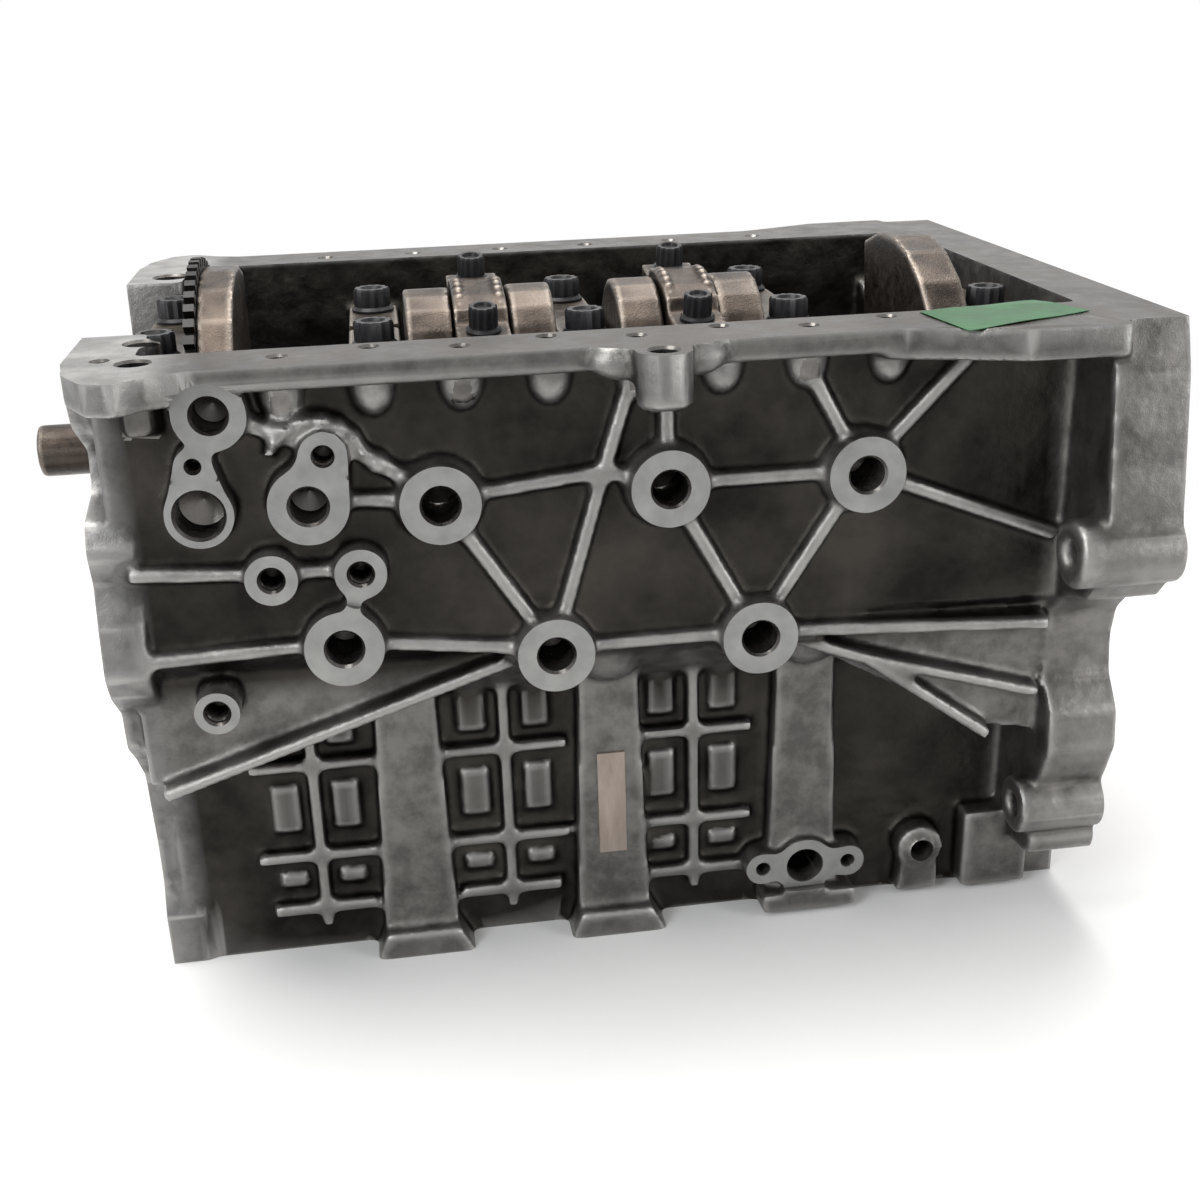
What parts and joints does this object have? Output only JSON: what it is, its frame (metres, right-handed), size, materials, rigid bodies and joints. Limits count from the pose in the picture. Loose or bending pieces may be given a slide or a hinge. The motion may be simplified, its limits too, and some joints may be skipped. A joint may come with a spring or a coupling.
{
  "type": "engine short block",
  "caption": "In-line short block standing on its deck face: cast block with ribbed bracket side, open crankcase with crankshaft, rods and main caps.",
  "frame": {"origin": "on the deck face, between cylinders 2 and 3, under the crankshaft's axis", "axes": "+X along the crankshaft to the gearbox end, +Y to the side away from the bracket bosses, +Z from the deck face to the sump rail"},
  "size_m": [0.458, 0.32, 0.301],
  "materials": {
    "cast_aluminium": "as-cast, machined faces bright",
    "cap_iron": "machined",
    "black_bolt": "black oxide",
    "green_film": "thin glossy film",
    "forged_steel": "forged and machined",
    "dark_steel": "black oxide",
    "piston_aluminium": "machined"
  },
  "bodies": {
    "block": {"cylinder_block": "cast_aluminium", "main_cap_1": "cap_iron", "main_cap_2": "cap_iron", "main_cap_3": "cap_iron", "main_cap_4": "cap_iron", "main_cap_5": "cap_iron", "main_cap_bolts": "black_bolt", "rail_film": "green_film"},
    "crank": {"crankshaft": "forged_steel", "trigger_wheel": "dark_steel"},
    "rod_1": {"con_rod_1": "forged_steel", "rod_cap_1": "forged_steel", "rod_bolts_1": "black_bolt"},
    "piston_1": {"piston_1": "piston_aluminium"},
    "rod_2": {"con_rod_2": "forged_steel", "rod_cap_2": "forged_steel", "rod_bolts_2": "black_bolt"},
    "piston_2": {"piston_2": "piston_aluminium"},
    "rod_3": {"con_rod_3": "forged_steel", "rod_cap_3": "forged_steel", "rod_bolts_3": "black_bolt"},
    "piston_3": {"piston_3": "piston_aluminium"},
    "rod_4": {"con_rod_4": "forged_steel", "rod_cap_4": "forged_steel", "rod_bolts_4": "black_bolt"},
    "piston_4": {"piston_4": "piston_aluminium"}
  },
  "joints": [
    {"name": "crank_turn", "type": "hinge", "parent": "block", "child": "crank", "pos_m": [0, 0, 0.222], "axis": [1, 0, 0], "range_deg": [-10, 10]},
    {"name": "rod_1_swing", "type": "hinge", "parent": "crank", "child": "rod_1", "pos_m": [-0.132, 0.02527, 0.18721], "axis": [1, 0, 0], "range_deg": [-12.45, 12.45]},
    {"name": "rod_2_swing", "type": "hinge", "parent": "crank", "child": "rod_2", "pos_m": [-0.044, -0.02527, 0.25679], "axis": [1, 0, 0], "range_deg": [-7.58, 7.58]},
    {"name": "rod_3_swing", "type": "hinge", "parent": "crank", "child": "rod_3", "pos_m": [0.044, -0.02527, 0.25679], "axis": [1, 0, 0], "range_deg": [-7.58, 7.58]},
    {"name": "rod_4_swing", "type": "hinge", "parent": "crank", "child": "rod_4", "pos_m": [0.132, 0.02527, 0.18721], "axis": [1, 0, 0], "range_deg": [-12.45, 12.45]},
    {"name": "piston_1_slide", "type": "slide", "parent": "block", "child": "piston_1", "axis": [0, 0, 1], "range_m": [-0.0055, 0.0055]},
    {"name": "piston_2_slide", "type": "slide", "parent": "block", "child": "piston_2", "axis": [0, 0, 1], "range_m": [-0.00335, 0.00335]},
    {"name": "piston_3_slide", "type": "slide", "parent": "block", "child": "piston_3", "axis": [0, 0, 1], "range_m": [-0.00335, 0.00335]},
    {"name": "piston_4_slide", "type": "slide", "parent": "block", "child": "piston_4", "axis": [0, 0, 1], "range_m": [-0.0055, 0.0055]}
  ],
  "couplings": [
    {"joint": "rod_1_swing", "follows": "crank_turn", "ratio": -1.2436},
    {"joint": "rod_2_swing", "follows": "crank_turn", "ratio": -0.75635},
    {"joint": "rod_3_swing", "follows": "crank_turn", "ratio": -0.75635},
    {"joint": "rod_4_swing", "follows": "crank_turn", "ratio": -1.2436},
    {"joint": "piston_1_slide", "follows": "crank_turn", "m_per_rad": 0.031433},
    {"joint": "piston_2_slide", "follows": "crank_turn", "m_per_rad": -0.019117},
    {"joint": "piston_3_slide", "follows": "crank_turn", "m_per_rad": -0.019117},
    {"joint": "piston_4_slide", "follows": "crank_turn", "m_per_rad": 0.031433}
  ]
}
